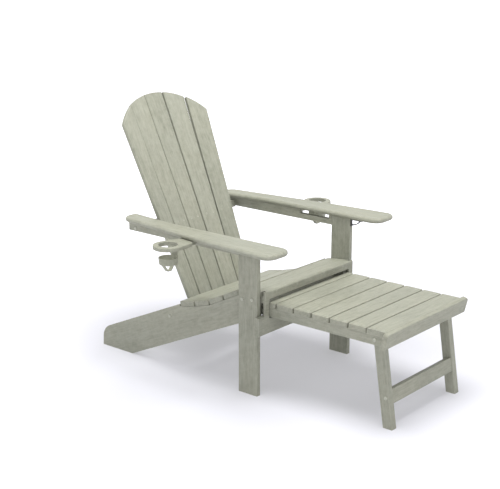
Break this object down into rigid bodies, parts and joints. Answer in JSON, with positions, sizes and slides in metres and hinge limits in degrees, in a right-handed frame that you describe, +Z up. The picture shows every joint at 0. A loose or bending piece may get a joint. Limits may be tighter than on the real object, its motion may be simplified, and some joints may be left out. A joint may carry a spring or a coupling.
{
  "type": "adirondack chair",
  "caption": "Slatted garden chair with a leaning fan back, wide arms, swing-out cup holders and a pull-out slatted footrest.",
  "frame": {"origin": "centre of the chair's bounding box in plan, on the floor", "axes": "+Z up; the chair faces -Y; -X is the sitter's right; the YZ plane is the middle plane"},
  "size_m": [0.974, 1.338, 0.9806],
  "materials": {
    "lumber": "matte wood-grain recycled plastic lumber, sage green",
    "dark_steel": "black coated steel",
    "pale_steel": "bolt heads coated close to the boards' colour",
    "painted_screw": "flush screw heads coated in the boards' colour",
    "cup_plastic": "matte moulded plastic, sage green",
    "glide_plastic": "black nylon"
  },
  "bodies": {
    "frame": {"arm_bracket_left": "dark_steel", "arm_bracket_right": "dark_steel", "arm_left": "lumber", "arm_rail_left": "lumber", "arm_rail_right": "lumber", "arm_right": "lumber", "arm_screws": "painted_screw", "back_lower_rail": "lumber", "back_screws": "painted_screw", "back_slat_1": "lumber", "back_slat_2": "lumber", "back_slat_3": "lumber", "back_slat_4": "lumber", "back_slat_5": "lumber", "back_upper_rail": "lumber", "cup_pivot_bolts": "dark_steel", "front_leg_left": "lumber", "front_leg_right": "lumber", "front_stretcher": "lumber", "leg_bolts": "pale_steel", "rail_bolts": "pale_steel", "seat_apron": "lumber", "seat_apron_screws": "painted_screw", "seat_screws": "painted_screw", "seat_slat_1": "lumber", "seat_slat_2": "lumber", "seat_slat_3": "lumber", "seat_slat_4": "lumber", "seat_slat_5": "lumber", "side_rail_left": "lumber", "side_rail_right": "lumber", "stretcher_screws": "painted_screw"},
    "cup_holder_right": {"cup_plate_right": "lumber", "cup_basket_right": "cup_plastic", "cup_strap_right": "cup_plastic"},
    "cup_holder_left": {"cup_plate_left": "lumber", "cup_basket_left": "cup_plastic", "cup_strap_left": "cup_plastic"},
    "footrest_glides": {"footrest_glide_left": "glide_plastic", "footrest_glide_right": "glide_plastic"},
    "footrest": {"footrest_board_screws": "painted_screw", "footrest_bolts": "pale_steel", "footrest_front_board": "lumber", "footrest_leg_left": "lumber", "footrest_leg_right": "lumber", "footrest_rail_left": "lumber", "footrest_rail_right": "lumber", "footrest_rear_bar": "lumber", "footrest_screws": "painted_screw", "footrest_slat_1": "lumber", "footrest_slat_2": "lumber", "footrest_slat_3": "lumber", "footrest_slat_4": "lumber", "footrest_slat_5": "lumber", "footrest_slat_6": "lumber", "footrest_slat_7": "lumber", "footrest_stretcher": "lumber"}
  },
  "joints": [
    {"name": "cup_holder_right_swing", "type": "hinge", "parent": "frame", "child": "cup_holder_right", "pos_m": [-0.312, 0.1265, 0.5365], "axis": [0, 0, 1], "range_deg": [0, 90]},
    {"name": "cup_holder_left_swing", "type": "hinge", "parent": "frame", "child": "cup_holder_left", "pos_m": [0.312, 0.1265, 0.5365], "axis": [0, 0, -1], "range_deg": [0, 90]},
    {"name": "footrest_tilt", "type": "hinge", "parent": "frame", "child": "footrest_glides", "pos_m": [0, -0.1515, 0.292], "axis": [-1, 0, 0], "range_deg": [0, 25]},
    {"name": "footrest_slide", "type": "slide", "parent": "footrest_glides", "child": "footrest", "axis": [0, 1, 0], "range_m": [0, 0.42]}
  ],
  "couplings": [
    {"joint": "footrest_tilt", "follows": "footrest_slide", "rad_per_m": 1.0389}
  ]
}
